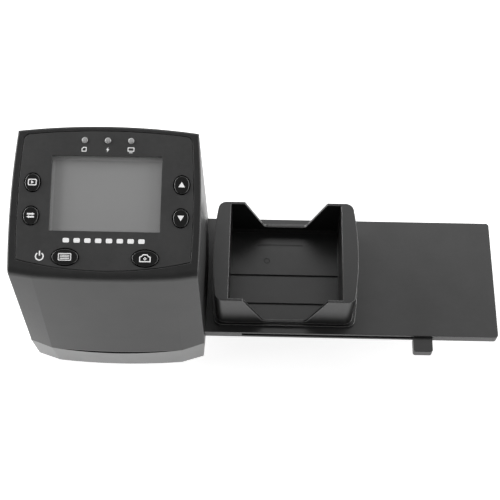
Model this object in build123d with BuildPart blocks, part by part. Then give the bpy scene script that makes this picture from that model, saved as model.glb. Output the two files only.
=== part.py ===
"""Desktop film and slide scanner with a push-through slide feeder plugged into its right side.

Frame: +X to the user's right, along the feeder; +Y to the back; +Z up; millimetres. Z = 0 is the table.
Y = 0 is the middle of the film channel, under the lens. X = 0 is half way along the whole object.
"""

import os
from math import asin, cos, radians, sin

from build123d import *

# ---------------------------------------------------------------- fits
gap = 0.3  # between pieces that move past each other
fit = 0.05  # round pieces in their holes
seat = 0.15  # fixed pieces beside each other
cross_share = 0.25  # width of a screw's cross slot against its head's radius

# ---------------------------------------------------------------- body shell
wall = 2.0
top_wall = 2.2
foot_stand = 0.8  # the feet hold the base this far off the table
seam_height = 18.7  # joint between base cover and housing, at the body's widest level
seam_opening = 1.3  # the joint stands open this far in the middle of the front
seam_opening_depth = 1.2
seam_opening_half_width = 30.0
facet_width = 10.7  # flat at each front corner, seen from above

waist_half_width = 43.2
waist_side_bow = 0.8
waist_front_margin = 9.05  # from the feeder's side out to the front wall
waist_front_bow = 6.4
waist_facet_depth = 4.0
waist_rear_margin = 8.35
waist_rear_bow = 4.2
waist_rear_taper = 1.0

base_side_draw = 1.1  # the foot of the wall lies this far inside the waist
base_front_draw = 1.8
base_rear_draw = 1.0
base_side_bow = 0.8
base_front_bow = 5.1
base_facet_depth = 3.6
base_rear_bow = 3.6
base_rear_taper = 0.8

top_side_draw = 1.0
top_side_bow = 0.5
top_front = 28.7
top_front_bow = 0.6
top_facet_depth = 0.3
top_rear = 33.9
top_rear_bow = 2.4
top_rear_taper = 1.3

# ---------------------------------------------------------------- sloping control panel
panel_tilt = 18.0  # degrees, down towards the user
panel_y = 4.2  # centre of the screen
panel_z = 94.8
panel_rise = 12.0  # how far the walls are drawn past the panel before it trims them
front_edge_radius = 4.0
side_edge_radius = 0.9

overlay_thickness = 0.8
overlay_margin = 3.5  # from the body's side
overlay_rear = 28.7  # along the slope, from the screen's centre
overlay_rear_bow = 2.2
overlay_rear_taper = 1.4  # the sides draw in towards the rear and a little towards the front
overlay_front_taper = 0.5
overlay_front = 34.2
overlay_front_bow = 4.6
overlay_corner = 3.0
groove = 0.3  # visible gap round the overlay

window_margin = 5.25  # from a side button to the window
window_height = 34.2
window_offset = 0.4  # the window's centre lies this far up the slope
pane_thickness = 1.0
pane_lip = 1.5  # the clear pane is this much larger than the window, each way
screen_thickness = 3.0
screen_margin = 2.6
board_thickness = 1.6
frame_height = 1.8  # carrier between screen and main board
frame_rim = 1.4

button_travel = 0.6
button_stand = 0.6  # above the overlay
button_crown = 0.48  # radius of the cap's edge
button_ring = 0.5  # dark ring that stays open round a cap
button_flange = 0.9
button_flange_thickness = 0.8
side_button_width = 6.7
side_button_height = 8.1
side_button_inset = 5.6  # from the overlay's side to the button column
side_button_shift = 0.45  # both columns lie this far right of the screen's middle
upper_button_y = 4.8
lower_button_y = -10.2
front_button_width = 11.5
front_button_height = 7.2
front_button_y = -28.4
front_button_x = 17.6
front_button_shift = 0.9
stem_radius = 1.4
switch_size = 5.0
switch_height = 1.4
plunger_radius = 1.2
plunger_height = 0.5

lamp_radius = 1.4
lamp_pitch = 10.35
lamp_y = 24.5
lamp_stand = 0.7
lamp_bar_width = 4.0
lamp_bar_thickness = 1.2
chip_size = 1.6
chip_height = 1.0

# ---------------------------------------------------------------- main board
board_side_margin = 2.6  # from the body's inner side
board_front = 31.5
board_rear = 21.8
board_tab_width = 28.0
board_tab = 3.9  # the tab that carries the status lamps
board_boss_radius = 2.3
board_boss_rear = 17.8
board_boss_front = 22.5
board_screw_radius = 0.9
board_screw_head = 1.8
board_screw_head_height = 1.0
board_screw_bite = 3.2

# ---------------------------------------------------------------- film feeder
slide_size = 50.0  # standard 50 x 50 mm slide mount
slide_thickness = 2.0
feeder_width = 62.5
feeder_top = 26.4
feeder_length_right = 183.8  # from the lens axis
feeder_corner = 1.5
slide_play = 0.4  # above the slide in its channel
deck_thickness = 1.2
floor_thickness = 1.4
channel_side_gap = 0.6  # each side of a slide
end_wall = 2.2
feeder_inset = 1.7  # the tongue ends this far inside the left wall's outer face
film_window_x = 38.0
film_window_y = 26.0
rail_groove_width = 1.2
rail_groove_depth = 0.8
rail_groove_rear = 1.2  # Y of the two pusher grooves
rail_groove_front = -14.3

hopper_gap = 3.15  # from the body's side to the hopper
hopper_inner_x = 53.4
hopper_inner_y = 50.6
hopper_outer_x = 68.9
hopper_end_x = 64.4
hopper_wall = 1.2
hopper_height = 25.6
hopper_corner = 4.0
hopper_flange = 1.4
hopper_flange_height = 1.4
notch_top = 39.8
notch_bottom = 20.6
notch_sill = 2.9
notch_radius = 3.0

pusher_length = 74.0
pusher_thickness = 1.8
handle_x = 147.7  # from the lens axis
handle_width = 9.2
handle_reach = 7.5
handle_thickness = 4.5
handle_corner = 1.2
rib_width = 0.6
rib_height = 0.7

feeder_screw_radius = 0.9
feeder_screw_head = 1.7
feeder_screw_head_height = 0.8
feeder_boss_radius = 1.9
feeder_boss_height = 1.9
feeder_screw_bite = 2.2

# ---------------------------------------------------------------- film gate and light source
gate_plate = 2.0
gate_rail = 1.75
gate_half_length = 33.0
gate_rail_half_length = 19.0
gate_ear_width = 8.0
gate_ear_depth = 2.8
gate_ear_x = 8.0
gate_screw_radius = 0.9
gate_screw_head = 1.6
gate_screw_head_height = 1.0
gate_screw_bite = 6.0

light_box_x = 56.0
light_box_y = 44.0
light_box_wall = 1.5
light_box_floor = 1.2
diffuser_thickness = 1.5
light_board_thickness = 1.2
light_led_size = 3.5
light_led_height = 1.2
light_led_pitch_x = 18.0
light_led_pitch_y = 18.0

# ---------------------------------------------------------------- lens and sensor
tunnel_base_x = 46.0
tunnel_base_y = 33.0
tunnel_wall = 1.8
tunnel_height = 27.0
block_size = 26.0
block_height = 10.0
barrel_radius = 7.0
barrel_wall = 1.4
barrel_length = 10.0
barrel_rim = 1.2
glass_thickness = 2.6
glass_dome = 0.9
sensor_pocket = 13.0
sensor_size = 11.0
sensor_height = 1.4
pocket_depth = 4.0
sensor_board_size = 30.0
sensor_board_thickness = 1.2
sensor_screw_radius = 0.8
sensor_screw_head = 1.6
sensor_screw_head_height = 0.9
sensor_screw_bite = 4.0
sensor_screw_offset = 10.6

# ---------------------------------------------------------------- connectors
port_board_height = 44.0
port_board_left = 36.0  # reach to the left of the lens axis
port_board_right = 30.0
port_board_clearance = 3.0  # from the lens block
port_board_margin = 8.6  # from the rear wall at the waist
port_board_thickness = 1.6
port_post_radius = 2.4
port_post_inset_x = 6.0
port_post_inset_y = 3.5
port_screw_radius = 0.9
port_screw_head = 1.7
port_screw_head_height = 1.0
port_screw_bite = 5.0
usb_width = 7.7
usb_height = 3.9
usb_depth = 9.2
usb_x = 14.0
usb_shell = 0.4
card_width = 26.0
card_height = 2.9
card_depth = 15.0
card_x = -13.5
card_shell = 0.5
socket_overhang = 2.8  # past the board, up to the rear wall
port_clearance = 0.5
ribbon_thickness = 0.3
ribbon_width = 12.0
ribbon_bend = 1.2  # step of a cable's bends
ribbon_landing = 6.0  # length that lies on the main board or under the connector board
lead_width = 3.0
lead_x = -15.0
lead_lane = 0.6  # behind the film gate's rail

# ---------------------------------------------------------------- base
base_floor = 2.0
lip_height = 1.5
lip_thickness = 1.0
screw_x = 22.0
screw_margin = 5.4  # from the rear wall at the waist
screw_post_radius = 2.6
screw_radius = 1.0
screw_head_radius = 1.8
screw_head_height = 1.4
screw_bite = 5.5
housing_boss_height = 6.6
foot_radius = 4.3
foot_thickness = 1.4
foot_x = 32.0
foot_y = 24.5

# ---------------------------------------------------------------- places worked out from the sizes above
waist_front = feeder_width / 2 + waist_front_margin
waist_rear = feeder_width / 2 + waist_rear_margin
base_half_width = waist_half_width - base_side_draw
base_front = waist_front - base_front_draw
base_rear = waist_rear - base_rear_draw
top_half_width = waist_half_width - top_side_draw
screw_y = waist_rear - screw_margin

scanner_x = (waist_half_width - feeder_length_right) / 2
hopper_x = waist_half_width + hopper_gap + hopper_outer_x / 2
hopper_centre = scanner_x + hopper_x
slope_rise = sin(radians(panel_tilt))
slope_run = cos(radians(panel_tilt))
panel = Plane(
    origin=(scanner_x, panel_y, panel_z),
    x_dir=(1, 0, 0),
    z_dir=(0, -slope_rise, slope_run),
)
slope = Axis(panel.origin, panel.z_dir)
top_level = panel_z + panel_rise

channel_gap = slide_thickness + slide_play
deck_bottom = feeder_top - deck_thickness
floor_top = deck_bottom - channel_gap
floor_bottom = floor_top - floor_thickness
channel_half = slide_size / 2 + channel_side_gap
feeder_left = scanner_x - waist_half_width + feeder_inset
feeder_right = scanner_x + feeder_length_right
feeder_half = feeder_width / 2

gate_top = floor_bottom - gap
gate_bottom = gate_top - gate_plate
gate_roof = feeder_top + gap
gate_side = feeder_half + gap
light_box_bottom = foot_stand + base_floor
light_box_top = gate_bottom - diffuser_thickness

tunnel_bottom = gate_roof + gate_plate
block_bottom = tunnel_bottom + tunnel_height
sensor_board_bottom = block_bottom + block_height

overlay_half_width = top_half_width - overlay_margin
button_column = overlay_half_width - side_button_inset
window_width = 2 * (button_column - side_button_width / 2 - window_margin)
port_board_far = waist_rear - port_board_margin
port_board_near = block_size / 2 + port_board_clearance
wall_under = -top_wall  # underside of the panel wall, along the panel's normal
screen_under = wall_under - screen_thickness
board_top = screen_under - frame_height
board_under = board_top - board_thickness
board_half = top_half_width - wall - board_side_margin
board_boss_x = board_half - board_boss_radius - seat
stem_end = board_top + switch_height + plunger_height + gap + button_travel

pusher_bottom = floor_top + gap
pusher_top = pusher_bottom + pusher_thickness
pusher_right = feeder_right - end_wall - gap
pusher_left = pusher_right - pusher_length
pusher_travel = pusher_left - scanner_x - slide_size / 2

left_column = side_button_shift - button_column
right_column = side_button_shift + button_column
left_front = front_button_shift - front_button_x
right_front = front_button_shift + front_button_x
buttons = {
    "button_play": (left_column, upper_button_y, side_button_width, side_button_height),
    "button_swap": (left_column, lower_button_y, side_button_width, side_button_height),
    "button_up": (right_column, upper_button_y, side_button_width, side_button_height),
    "button_down": (right_column, lower_button_y, side_button_width, side_button_height),
    "button_menu": (left_front, front_button_y, front_button_width, front_button_height),
    "button_capture": (right_front, front_button_y, front_button_width, front_button_height),
}


def level(height, x=0.0, y=0.0):
    """A level plane at a height, its origin on the lens axis or moved from it."""
    return Plane(origin=(scanner_x + x, y, height))


def save(part, name):
    part.label = name
    export_step(part, f"parts/{name}.step")


# ---------------------------------------------------------------- the body's outer form
def body_outline(half_width, side_bow, front, front_bow, facet_depth, rear, rear_bow, rear_taper, inset):
    """The body's outline at one height, drawn in by inset: bowed sides and rear, a faceted front."""
    corner_x = half_width - side_bow - inset
    corner_y = -(front - front_bow - inset)
    facet_x = corner_x - facet_width
    facet_y = corner_y - facet_depth
    rear_x = corner_x - rear_taper
    rear_y = rear - rear_bow - inset
    side_x = half_width - inset
    side_y = (rear_y + corner_y) / 2
    ThreePointArc((-facet_x, facet_y), (0, -(front - inset)), (facet_x, facet_y))
    Line((facet_x, facet_y), (corner_x, corner_y))
    ThreePointArc((corner_x, corner_y), (side_x, side_y), (rear_x, rear_y))
    ThreePointArc((rear_x, rear_y), (0, rear - inset), (-rear_x, rear_y))
    ThreePointArc((-rear_x, rear_y), (-side_x, side_y), (-corner_x, corner_y))
    Line((-corner_x, corner_y), (-facet_x, facet_y))


def base_outline(inset):
    body_outline(
        base_half_width, base_side_bow, base_front, base_front_bow, base_facet_depth,
        base_rear, base_rear_bow, base_rear_taper, inset,
    )


def waist_outline(inset):
    body_outline(
        waist_half_width, waist_side_bow, waist_front, waist_front_bow, waist_facet_depth,
        waist_rear, waist_rear_bow, waist_rear_taper, inset,
    )


def top_outline(inset):
    body_outline(
        top_half_width, top_side_bow, top_front, top_front_bow, top_facet_depth,
        top_rear, top_rear_bow, top_rear_taper, inset,
    )


def body_form(inset, bottom, lid):
    """The body drawn in by inset, from the height bottom up to the plane lid."""
    with BuildPart() as form:
        for height, outline in (
            (foot_stand, base_outline),
            (seam_height, waist_outline),
            (top_level, top_outline),
        ):
            with BuildSketch(level(height)):
                with BuildLine():
                    outline(inset)
                make_face()
        loft(ruled=True)
        split(bisect_by=Plane.XY.offset(bottom), keep=Keep.TOP)
        split(bisect_by=lid, keep=Keep.BOTTOM)
    return form.part


def overlay_edges(grow):
    """The overlay's outline on the slope, let out by grow."""
    half = overlay_half_width + grow
    rear = overlay_rear + grow
    front = overlay_front + grow
    near = (half - overlay_front_taper, -front + overlay_front_bow)
    far = (half - overlay_rear_taper, rear - overlay_rear_bow)
    middle = (near[1] + far[1]) / 2
    ThreePointArc((-near[0], near[1]), (0, -front), near)
    ThreePointArc(near, (half, middle), far)
    ThreePointArc(far, (0, rear), (-far[0], far[1]))
    ThreePointArc((-far[0], far[1]), (-half, middle), (-near[0], near[1]))


# ---------------------------------------------------------------- housing
def make_housing():
    """The deep shell: panel wall on top, walls down to the seam, film slots in both sides."""
    with BuildPart() as housing:
        add(body_form(0, seam_height, panel))
        # a wide round along the front edge and both its facets, a small one round the rest
        rim = housing.faces().sort_by(slope)[-1].edges()
        fillet([edge for edge in rim if edge.center().Y < -top_front / 2], front_edge_radius)
        rim = housing.faces().sort_by(slope)[-1].edges()
        fillet([edge for edge in rim if edge.center().Y > -top_front / 2], side_edge_radius)
        add(body_form(wall, seam_height - wall, panel.offset(-top_wall)), mode=Mode.SUBTRACT)
        add(seam_opening_form(), mode=Mode.SUBTRACT)
        add(screw_posts(seam_height, seam_height + housing_boss_height))
        with BuildSketch(level(seam_height)):
            with GridLocations(2 * screw_x, 2 * screw_y, 2, 2):
                Circle(screw_radius + fit)
        extrude(amount=screw_bite + fit, mode=Mode.SUBTRACT)
        # bosses that carry the main board
        with BuildSketch(panel.offset(board_top)):
            with Locations(*board_boss_places()):
                Circle(board_boss_radius)
        extrude(amount=wall_under - board_top + overlay_thickness / 2)
        with BuildSketch(panel.offset(board_top)):
            with Locations(*board_boss_places()):
                Circle(board_screw_radius + fit)
        extrude(amount=board_screw_bite + fit, mode=Mode.SUBTRACT)
        # recess for the overlay, the screen window, the button holes and the lamp holes
        with BuildSketch(panel.offset(-overlay_thickness)):
            with BuildLine():
                overlay_edges(groove)
            make_face()
            fillet(vertices().group_by(Axis.Y)[-1], overlay_corner)
        extrude(amount=overlay_thickness, mode=Mode.SUBTRACT)
        with BuildSketch(panel):
            with Locations((0, window_offset)):
                Rectangle(window_width + 2 * pane_lip, window_height + 2 * pane_lip)
            for x, y, width, height in buttons.values():
                with Locations((x, y)):
                    Ellipse(width / 2 + button_ring, height / 2 + button_ring)
            with GridLocations(lamp_pitch, 0, 3, 1):
                with Locations((0, lamp_y)):
                    Circle(lamp_radius + fit)
        extrude(amount=-top_wall, mode=Mode.SUBTRACT)
        # slots for the feeder in both side walls
        slot_middle = (feeder_top + floor_bottom) / 2
        with BuildSketch(Plane(origin=(scanner_x, 0, slot_middle), x_dir=(0, 1, 0), z_dir=(1, 0, 0))):
            Rectangle(2 * gate_side, gate_roof - gate_top)
        extrude(amount=waist_half_width + wall, both=True, mode=Mode.SUBTRACT)
        # openings for the card and the cable at the back
        with BuildSketch(Plane(origin=(scanner_x, 0, port_top()), x_dir=(-1, 0, 0), z_dir=(0, 1, 0))):
            with Locations((-usb_x, usb_height / 2)):
                Rectangle(usb_width + 2 * port_clearance, usb_height - 2 * fit)
            with Locations((-card_x, card_height / 2)):
                Rectangle(card_width + 2 * port_clearance, card_height + port_clearance)
        extrude(amount=waist_rear, mode=Mode.SUBTRACT)
    save(housing.part, "housing")


def seam_opening_form():
    """What the front wall lacks above the joint: widest in the middle, nothing at both ends."""
    lid = Plane.XY.offset(seam_height + seam_opening)
    with BuildPart() as opening:
        add(body_form(0, seam_height, lid))
        add(body_form(seam_opening_depth, seam_height, lid), mode=Mode.SUBTRACT)
        with BuildSketch(Plane(origin=(scanner_x, 0, seam_height), x_dir=(1, 0, 0), z_dir=(0, -1, 0))):
            with BuildLine():
                Line((-seam_opening_half_width, 0), (seam_opening_half_width, 0))
                ThreePointArc(
                    (seam_opening_half_width, 0), (0, seam_opening), (-seam_opening_half_width, 0)
                )
            make_face()
        extrude(amount=waist_front + wall, mode=Mode.INTERSECT)
    return opening.part


def screw_posts(bottom, top):
    """Four posts for the base screws, each joined to the wall behind it."""
    web = waist_rear - screw_y
    with BuildPart() as posts:
        with BuildSketch(level(bottom)):
            with GridLocations(2 * screw_x, 2 * screw_y, 2, 2):
                Circle(screw_post_radius)
            with GridLocations(2 * screw_x, 2 * screw_y + web, 2, 2):
                Rectangle(2 * screw_post_radius, web)
        extrude(amount=top - bottom)
        add(body_form(wall / 2, bottom, Plane.XY.offset(top)), mode=Mode.INTERSECT)
    return posts.part


def board_boss_places():
    rear = [(x, board_boss_rear) for x in (-board_boss_x, board_boss_x)]
    front = [(x, -board_boss_front) for x in (-board_boss_x, board_boss_x)]
    return rear + front


def port_top():
    return port_board_height + port_board_thickness


# ---------------------------------------------------------------- base cover, its feet and screws
def make_base_cover():
    """The shallow tray that closes the body from below and stands on the feet."""
    with BuildPart() as cover:
        add(body_form(0, foot_stand, Plane.XY.offset(seam_height)))
        add(
            body_form(wall, foot_stand + base_floor, Plane.XY.offset(seam_height + wall)),
            mode=Mode.SUBTRACT,
        )
        # a thin tongue that locates the housing from inside
        add(body_form(wall + seat, seam_height - wall, Plane.XY.offset(seam_height + lip_height)))
        inner = wall + seat + lip_thickness
        add(
            body_form(inner, foot_stand + base_floor, Plane.XY.offset(seam_height + wall)),
            mode=Mode.SUBTRACT,
        )
        with BuildSketch(level(seam_height)):
            with GridLocations(2 * screw_x, 2 * screw_y, 2, 2):
                Rectangle(2 * (screw_post_radius + gap), 2 * (waist_rear - screw_y))
        extrude(amount=lip_height, mode=Mode.SUBTRACT)
        add(screw_posts(foot_stand + base_floor / 2, seam_height))
        with BuildSketch(level(foot_stand)):
            with GridLocations(2 * screw_x, 2 * screw_y, 2, 2):
                Circle(screw_radius + seat)
        extrude(amount=seam_height - foot_stand, mode=Mode.SUBTRACT)
        with BuildSketch(level(foot_stand)):
            with GridLocations(2 * screw_x, 2 * screw_y, 2, 2):
                Circle(screw_head_radius + seat)
        extrude(amount=screw_head_height + gap, mode=Mode.SUBTRACT)
        with BuildSketch(level(foot_stand)):
            with GridLocations(2 * foot_x, 2 * foot_y, 2, 2):
                Circle(foot_radius + fit)
        extrude(amount=foot_thickness - foot_stand, mode=Mode.SUBTRACT)
    save(cover.part, "base_cover")


def make_rubber_feet():
    with BuildPart() as feet:
        with BuildSketch(level(0)):
            with GridLocations(2 * foot_x, 2 * foot_y, 2, 2):
                Circle(foot_radius)
        extrude(amount=foot_thickness)
        chamfer(feet.edges().group_by(Axis.Z)[0], gap)
    save(feet.part, "rubber_feet")


def pan_screws(plane, places, radius, head_radius, head_height, length):
    """Pan-head screws in a row of places: heads on the far side of the plane, shanks along its normal."""
    with BuildPart() as screws:
        with BuildSketch(plane):
            with Locations(*places):
                Circle(radius)
        extrude(amount=length)
        with BuildSketch(plane):
            with Locations(*places):
                Circle(head_radius)
        extrude(amount=-head_height)
        with BuildSketch(plane.offset(-head_height)):
            with Locations(*places):
                Rectangle(head_radius, cross_share * head_radius)
                Rectangle(cross_share * head_radius, head_radius)
        extrude(amount=head_height / 2, mode=Mode.SUBTRACT)
    return screws.part


def make_base_screws():
    places = [(x, y) for x in (-screw_x, screw_x) for y in (-screw_y, screw_y)]
    head_top = foot_stand + gap + screw_head_height
    length = seam_height - head_top + screw_bite
    screws = pan_screws(level(head_top), places, screw_radius, screw_head_radius, screw_head_height, length)
    save(screws, "base_screws")


# ---------------------------------------------------------------- control panel
def make_overlay_panel():
    """The thin flat sheet glued into the housing's recess, with its window and holes."""
    with BuildPart() as overlay:
        with BuildSketch(panel.offset(-overlay_thickness)):
            with BuildLine():
                overlay_edges(0)
            make_face()
            fillet(vertices().group_by(Axis.Y)[-1], overlay_corner)
            with Locations((0, window_offset)):
                Rectangle(window_width, window_height, mode=Mode.SUBTRACT)
            for x, y, width, height in buttons.values():
                with Locations((x, y)):
                    Ellipse(width / 2 + button_ring, height / 2 + button_ring, mode=Mode.SUBTRACT)
            with GridLocations(lamp_pitch, 0, 3, 1):
                with Locations((0, lamp_y)):
                    Circle(lamp_radius + fit, mode=Mode.SUBTRACT)
        extrude(amount=overlay_thickness)
    save(overlay.part, "overlay_panel")


def make_screen_window():
    """The clear pane, glued to the overlay's underside in the housing's opening."""
    with BuildPart() as pane:
        with BuildSketch(panel.offset(-overlay_thickness)):
            with Locations((0, window_offset)):
                Rectangle(window_width + 2 * (pane_lip - seat), window_height + 2 * (pane_lip - seat))
        extrude(amount=-pane_thickness)
    save(pane.part, "screen_window")


def make_lcd_module():
    """The screen: a glass panel in a thin tray, held against the housing's wall."""
    with BuildPart() as screen:
        with BuildSketch(panel.offset(wall_under)):
            with Locations((0, window_offset)):
                Rectangle(window_width + 2 * screen_margin, window_height + 2 * screen_margin)
        extrude(amount=-screen_thickness)
    save(screen.part, "lcd_module")


def make_lcd_frame():
    """The carrier that spaces the screen off the main board."""
    with BuildPart() as carrier:
        with BuildSketch(panel.offset(screen_under)):
            with Locations((0, window_offset)):
                Rectangle(window_width + 2 * screen_margin, window_height + 2 * screen_margin)
                Rectangle(
                    window_width + 2 * (screen_margin - frame_rim),
                    window_height + 2 * (screen_margin - frame_rim),
                    mode=Mode.SUBTRACT,
                )
        extrude(amount=-frame_height)
    save(carrier.part, "lcd_frame")


def make_main_board():
    with BuildPart() as board:
        with BuildSketch(panel.offset(board_top)):
            with Locations((0, (board_rear - board_front) / 2)):
                Rectangle(2 * board_half, board_front + board_rear)
            with Locations((0, board_rear + board_tab / 2)):
                Rectangle(board_tab_width, board_tab)
            with Locations(*board_boss_places()):
                Circle(board_screw_radius + seat, mode=Mode.SUBTRACT)
        extrude(amount=-board_thickness)
    save(board.part, "main_board")


def make_board_screws():
    into_wall = Plane(origin=panel.offset(board_under).origin, x_dir=(1, 0, 0), z_dir=panel.z_dir)
    places = board_boss_places()
    length = board_thickness + board_screw_bite
    screws = pan_screws(
        into_wall, places, board_screw_radius, board_screw_head, board_screw_head_height, length
    )
    save(screws, "main_board_screws")


def make_tact_switches():
    """Six small switches on the main board, one under each button."""
    places = [(x, y) for x, y, _, _ in buttons.values()]
    with BuildPart() as switches:
        with BuildSketch(panel.offset(board_top)):
            with Locations(*places):
                Rectangle(switch_size, switch_size)
        extrude(amount=switch_height)
        with BuildSketch(panel.offset(board_top)):
            with Locations(*places):
                Circle(plunger_radius)
        extrude(amount=switch_height + plunger_height)
    save(switches.part, "tact_switches")


def make_status_leds():
    with BuildPart() as chips:
        with BuildSketch(panel.offset(board_top)):
            with Locations((0, lamp_y)):
                with GridLocations(lamp_pitch, 0, 3, 1):
                    Rectangle(chip_size, chip_size)
        extrude(amount=chip_height)
    save(chips.part, "status_leds")


def make_light_guide():
    """One clear moulding: a bar under the panel wall, three domed rods up through it, three stubs down."""
    with BuildPart() as guide:
        with BuildSketch(panel.offset(wall_under)):
            with Locations((0, lamp_y)):
                Rectangle(2 * lamp_pitch + lamp_bar_width, lamp_bar_width)
        extrude(amount=-lamp_bar_thickness)
        with BuildSketch(panel.offset(board_top + chip_height + seat)):
            with Locations((0, lamp_y)):
                with GridLocations(lamp_pitch, 0, 3, 1):
                    Circle(lamp_radius)
        extrude(amount=lamp_stand - board_top - chip_height - seat)
        fillet(guide.edges().filter_by(GeomType.CIRCLE).group_by(slope)[-1], lamp_stand)
    save(guide.part, "light_guide")


def make_buttons():
    """Each button: an oval cap through the panel, a wider flange that keeps it in, a stem to its switch."""
    flange_top = wall_under - gap
    for name, (x, y, width, height) in buttons.items():
        with BuildPart() as button:
            with BuildSketch(panel.offset(flange_top)):
                with Locations((x, y)):
                    Ellipse(width / 2, height / 2)
            extrude(amount=button_stand - flange_top)
            crown = button.faces().sort_by(slope)[-1]
            fillet(crown.edges(), button_crown)
            with BuildSketch(panel.offset(flange_top)):
                with Locations((x, y)):
                    Ellipse(width / 2 + button_flange, height / 2 + button_flange)
            extrude(amount=-button_flange_thickness)
            with BuildSketch(panel.offset(flange_top)):
                with Locations((x, y)):
                    Circle(stem_radius)
            extrude(amount=stem_end - flange_top)
        save(button.part, name)


# ---------------------------------------------------------------- light source under the film
def make_light_box():
    """The white box that mixes the lamps' light under the film."""
    with BuildPart() as box:
        with BuildSketch(level(light_box_bottom)):
            Rectangle(light_box_x, light_box_y)
        extrude(amount=light_box_top - light_box_bottom)
        with BuildSketch(level(light_box_bottom + light_box_floor)):
            Rectangle(light_box_x - 2 * light_box_wall, light_box_y - 2 * light_box_wall)
        extrude(amount=light_box_top - light_box_bottom, mode=Mode.SUBTRACT)
        # notch at the back for the lamps' lead
        lamp_side = light_box_bottom + light_box_floor + light_board_thickness
        with BuildSketch(level(lamp_side, x=lead_x, y=light_box_y / 2)):
            Rectangle(lead_width + 2 * gap, 2 * light_box_wall + gap)
        extrude(amount=2 * ribbon_thickness, mode=Mode.SUBTRACT)
    save(box.part, "light_box")


def make_backlight_board():
    with BuildPart() as board:
        with BuildSketch(level(light_box_bottom + light_box_floor)):
            Rectangle(
                light_box_x - 2 * (light_box_wall + seat),
                light_box_y - 2 * (light_box_wall + seat),
            )
        extrude(amount=light_board_thickness)
    save(board.part, "backlight_board")


def make_backlight_leds():
    with BuildPart() as lamps:
        with BuildSketch(level(light_box_bottom + light_box_floor + light_board_thickness)):
            with GridLocations(light_led_pitch_x, light_led_pitch_y, 3, 2):
                Rectangle(light_led_size, light_led_size)
        extrude(amount=light_led_height)
    save(lamps.part, "backlight_leds")


def make_diffuser():
    with BuildPart() as sheet:
        with BuildSketch(level(light_box_top)):
            Rectangle(light_box_x, light_box_y)
        extrude(amount=diffuser_thickness)
    save(sheet.part, "diffuser")


# ---------------------------------------------------------------- film gate
def gate_ear_places():
    """Middles of the four ears, each as deep as the rail and its bulge together."""
    middle = gate_side + (gate_rail + gate_ear_depth) / 2
    return [(x, y) for x in (-gate_ear_x, gate_ear_x) for y in (-middle, middle)]


def make_film_gate_lower():
    """The bed that the feeder slides on, with side rails and screw ears."""
    with BuildPart() as gate:
        with BuildSketch(level(gate_bottom)):
            Rectangle(2 * gate_half_length, 2 * feeder_half)
        extrude(amount=gate_plate)
        with BuildSketch(level(gate_bottom)):
            Rectangle(2 * gate_rail_half_length, 2 * (gate_side + gate_rail))
            with Locations(*gate_ear_places()):
                Rectangle(gate_ear_width, gate_rail + gate_ear_depth)
        extrude(amount=gate_roof - gate_bottom)
        with BuildSketch(level(gate_top)):
            Rectangle(2 * gate_half_length, 2 * gate_side)
        extrude(amount=gate_roof - gate_top, mode=Mode.SUBTRACT)
        with BuildSketch(level(gate_bottom)):
            Rectangle(film_window_x, film_window_y)
        extrude(amount=gate_plate, mode=Mode.SUBTRACT)
        with BuildSketch(level(gate_roof)):
            with Locations(*gate_ear_places()):
                Circle(gate_screw_radius + fit)
        extrude(amount=-(gate_screw_bite + fit), mode=Mode.SUBTRACT)
    save(gate.part, "film_gate_lower")


def make_film_gate_upper():
    """The roof of the film path, with the posts that carry the connector board."""
    with BuildPart() as gate:
        with BuildSketch(level(gate_roof)):
            Rectangle(2 * gate_half_length, 2 * (gate_side + gate_rail))
            Rectangle(film_window_x, film_window_y, mode=Mode.SUBTRACT)
            with Locations(*gate_ear_places()):
                Rectangle(gate_ear_width, gate_rail + gate_ear_depth)
                Circle(gate_screw_radius + seat, mode=Mode.SUBTRACT)
        extrude(amount=gate_plate)
        with BuildSketch(level(gate_roof + gate_plate)):
            with Locations(*port_post_places()):
                Circle(port_post_radius)
        extrude(amount=port_board_height - gate_roof - gate_plate)
        with BuildSketch(level(port_board_height)):
            with Locations(*port_post_places()):
                Circle(port_screw_radius + fit)
        extrude(amount=-(port_screw_bite + fit), mode=Mode.SUBTRACT)
    save(gate.part, "film_gate_upper")


def make_gate_screws():
    down = Plane(origin=(scanner_x, 0, gate_roof + gate_plate), x_dir=(1, 0, 0), z_dir=(0, 0, -1))
    length = gate_plate + gate_screw_bite
    screws = pan_screws(
        down, gate_ear_places(), gate_screw_radius, gate_screw_head, gate_screw_head_height, length
    )
    save(screws, "gate_screws")


# ---------------------------------------------------------------- lens and sensor
def make_lens_holder():
    """The dark hood over the film window that narrows up to the lens block."""
    with BuildPart() as holder:
        with BuildSketch(level(tunnel_bottom)):
            Rectangle(tunnel_base_x, tunnel_base_y)
        with BuildSketch(level(block_bottom)):
            Rectangle(block_size, block_size)
        loft()
        with BuildSketch(level(block_bottom)):
            Rectangle(block_size, block_size)
        extrude(amount=block_height)
        with BuildSketch(level(tunnel_bottom)):
            Rectangle(tunnel_base_x - 2 * tunnel_wall, tunnel_base_y - 2 * tunnel_wall)
        with BuildSketch(level(block_bottom)):
            Rectangle(block_size - 2 * tunnel_wall, block_size - 2 * tunnel_wall)
        loft(mode=Mode.SUBTRACT)
        with BuildSketch(level(block_bottom - tunnel_wall)):
            Rectangle(block_size, block_size)
        extrude(amount=tunnel_wall)
        with BuildSketch(level(block_bottom - tunnel_wall)):
            Circle(barrel_radius + fit)
        extrude(amount=block_height + tunnel_wall, mode=Mode.SUBTRACT)
        with BuildSketch(level(sensor_board_bottom)):
            Rectangle(sensor_pocket, sensor_pocket)
            with Locations(*sensor_screw_places()):
                Circle(sensor_screw_radius + fit)
        extrude(amount=-pocket_depth, mode=Mode.SUBTRACT)
    save(holder.part, "lens_holder")


def sensor_screw_places():
    return [(-sensor_screw_offset, -sensor_screw_offset), (sensor_screw_offset, sensor_screw_offset)]


def barrel_bottom():
    return sensor_board_bottom - pocket_depth - barrel_length


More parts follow.
